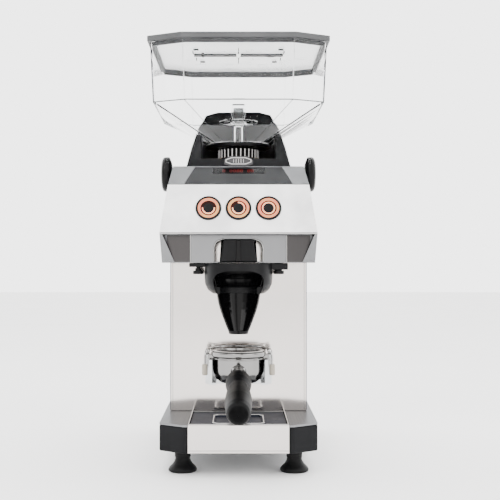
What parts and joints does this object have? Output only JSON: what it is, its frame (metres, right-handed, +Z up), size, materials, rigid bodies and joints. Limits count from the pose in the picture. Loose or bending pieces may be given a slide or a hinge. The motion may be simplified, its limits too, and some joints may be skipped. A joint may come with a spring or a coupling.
{
  "type": "burr coffee grinder",
  "caption": "Upright electric burr coffee grinder: clear faceted hopper, tilted panel of lit round buttons, open spout over a portafilter, polished column and slide-out grounds tray.",
  "frame": {"origin": "centre of the bounding box in X and Y, on the floor under the feet", "axes": "+Z up, front faces -Y, +X to the right seen from the front"},
  "size_m": [0.239, 0.484, 0.5576],
  "materials": {
    "cast": "grey sand-cast aluminium",
    "grey_plastic": "fine-grained dark grey moulding",
    "brushed_steel": "brushed stainless sheet",
    "rubber": "matte black rubber",
    "plain_steel": "plain satin steel",
    "smoked_gloss": "glossy black, smoked",
    "polished_steel": "mirror-polished stainless sheet",
    "black_plastic": "satin black moulding",
    "copper_winding": "enamelled copper on a laminated core",
    "burr_steel": "ground tool steel",
    "capacitor_case": "drawn aluminium can",
    "board_green": "green circuit board with parts",
    "brass": "machined brass",
    "panel_white": "smooth off-white sheet",
    "chrome": "bright chrome plate",
    "clear_plastic": "clear polycarbonate"
  },
  "bodies": {
    "housing": {"base_casting": "cast", "motor_end_bell": "cast", "grinding_chamber": "cast", "corner_block_left": "grey_plastic", "corner_block_right": "grey_plastic", "display_deck": "grey_plastic", "rear_hood": "grey_plastic", "base_deck": "brushed_steel", "rear_cover": "brushed_steel", "head_shell": "brushed_steel", "foot_front_left": "rubber", "foot_front_right": "rubber", "foot_rear_left": "rubber", "foot_rear_right": "rubber", "chassis": "plain_steel", "underside_panel": "plain_steel", "display_window": "smoked_gloss", "spout_funnel": "smoked_gloss", "column_front_panel": "polished_steel", "side_panel_left": "polished_steel", "side_panel_right": "polished_steel", "power_inlet": "black_plastic", "exit_chute": "black_plastic", "spout_collar": "black_plastic", "motor_stator": "copper_winding", "lower_bearing": "burr_steel", "upper_bearing": "burr_steel", "start_capacitor": "capacitor_case", "control_board": "board_green", "front_panel": "panel_white", "hopper_catch": "chrome", "portafilter_fork": "chrome", "hopper_collar": "chrome"},
    "rotor": {"rotor_shaft": "plain_steel", "cooling_fan": "black_plastic", "lower_burr_carrier": "plain_steel", "lower_burr": "burr_steel"},
    "adjusting_ring": {"adjusting_ring": "brass"},
    "upper_burr": {"upper_burr_carrier": "brass", "upper_burr": "burr_steel"},
    "worm": {"worm_shaft": "plain_steel", "setting_knob_left": "black_plastic", "setting_knob_right": "black_plastic"},
    "button_left": {"button_left": "black_plastic"},
    "button_middle": {"button_middle": "black_plastic"},
    "button_right": {"button_right": "black_plastic"},
    "thumb_screw_left": {"thumb_screw_left": "black_plastic"},
    "thumb_screw_right": {"thumb_screw_right": "black_plastic"},
    "hopper": {"hopper": "clear_plastic"},
    "lid": {"hopper_lid": "clear_plastic"},
    "gate": {"gate_plunger": "clear_plastic"},
    "portafilter": {"portafilter_body": "chrome", "portafilter_basket": "plain_steel", "portafilter_handle": "black_plastic"},
    "bail": {"retaining_bail": "chrome"},
    "dose_switch": {"dose_switch": "black_plastic"},
    "drawer": {"drawer_tray": "plain_steel", "drawer_mat": "smoked_gloss", "drawer_front": "polished_steel"},
    "power_switch": {"power_switch": "black_plastic"}
  },
  "joints": [
    {"name": "burr_spin", "type": "hinge", "parent": "housing", "child": "rotor", "pos_m": [0, 0.085, 0.2], "axis": [0, 0, 1], "continuous": true},
    {"name": "ring_turn", "type": "hinge", "parent": "housing", "child": "adjusting_ring", "pos_m": [0, 0.085, 0.378], "axis": [0, 0, 1], "range_deg": [-30, 30]},
    {"name": "burr_lift", "type": "slide", "parent": "adjusting_ring", "child": "upper_burr", "axis": [0, 0, 1], "range_m": [-0.0003, 0.0003]},
    {"name": "knob_turn", "type": "hinge", "parent": "housing", "child": "worm", "pos_m": [0, 0.023, 0.38], "axis": [1, 0, 0], "range_deg": [-900, 900]},
    {"name": "button_left_press", "type": "slide", "parent": "housing", "child": "button_left", "axis": [0, 0.9407, -0.3393], "range_m": [0, 0.0015], "stiffness_N_per_m": 300, "springref_m": -0.001},
    {"name": "button_middle_press", "type": "slide", "parent": "housing", "child": "button_middle", "axis": [0, 0.9407, -0.3393], "range_m": [0, 0.0015], "stiffness_N_per_m": 300, "springref_m": -0.001},
    {"name": "button_right_press", "type": "slide", "parent": "housing", "child": "button_right", "axis": [0, 0.9407, -0.3393], "range_m": [0, 0.0015], "stiffness_N_per_m": 300, "springref_m": -0.001},
    {"name": "thumb_screw_left_turn", "type": "hinge", "parent": "housing", "child": "thumb_screw_left", "pos_m": [-0.0515, -0.042, 0.255], "axis": [0, 0, 1], "range_deg": [-360, 360]},
    {"name": "thumb_screw_right_turn", "type": "hinge", "parent": "housing", "child": "thumb_screw_right", "pos_m": [0.0515, -0.042, 0.255], "axis": [0, 0, 1], "range_deg": [-360, 360]},
    {"name": "hopper_lift", "type": "slide", "parent": "housing", "child": "hopper", "axis": [0, 0, 1], "range_m": [0, 0.06]},
    {"name": "lid_lift", "type": "slide", "parent": "hopper", "child": "lid", "axis": [0, 0, 1], "range_m": [0, 0.05]},
    {"name": "gate_push", "type": "slide", "parent": "hopper", "child": "gate", "axis": [0, 0, -1], "range_m": [0, 0.0295]},
    {"name": "portafilter_pull", "type": "slide", "parent": "housing", "child": "portafilter", "axis": [0, -1, 0], "range_m": [0, 0.1]},
    {"name": "bail_swing", "type": "hinge", "parent": "housing", "child": "bail", "pos_m": [0, -0.041, 0.147], "axis": [1, 0, 0], "range_deg": [0, 35]},
    {"name": "dose_switch_press", "type": "slide", "parent": "housing", "child": "dose_switch", "axis": [0, 1, 0], "range_m": [0, 0.004], "stiffness_N_per_m": 300, "springref_m": -0.001},
    {"name": "drawer_slide", "type": "slide", "parent": "housing", "child": "drawer", "axis": [0, -1, 0], "range_m": [0, 0.09]},
    {"name": "power_switch_rock", "type": "hinge", "parent": "housing", "child": "power_switch", "pos_m": [0.022, 0.2394, 0.1], "axis": [1, 0, 0], "range_deg": [-14, 0]}
  ],
  "couplings": [
    {"joint": "burr_lift", "follows": "ring_turn", "m_per_rad": 0.000318},
    {"joint": "knob_turn", "follows": "ring_turn", "ratio": 30}
  ]
}
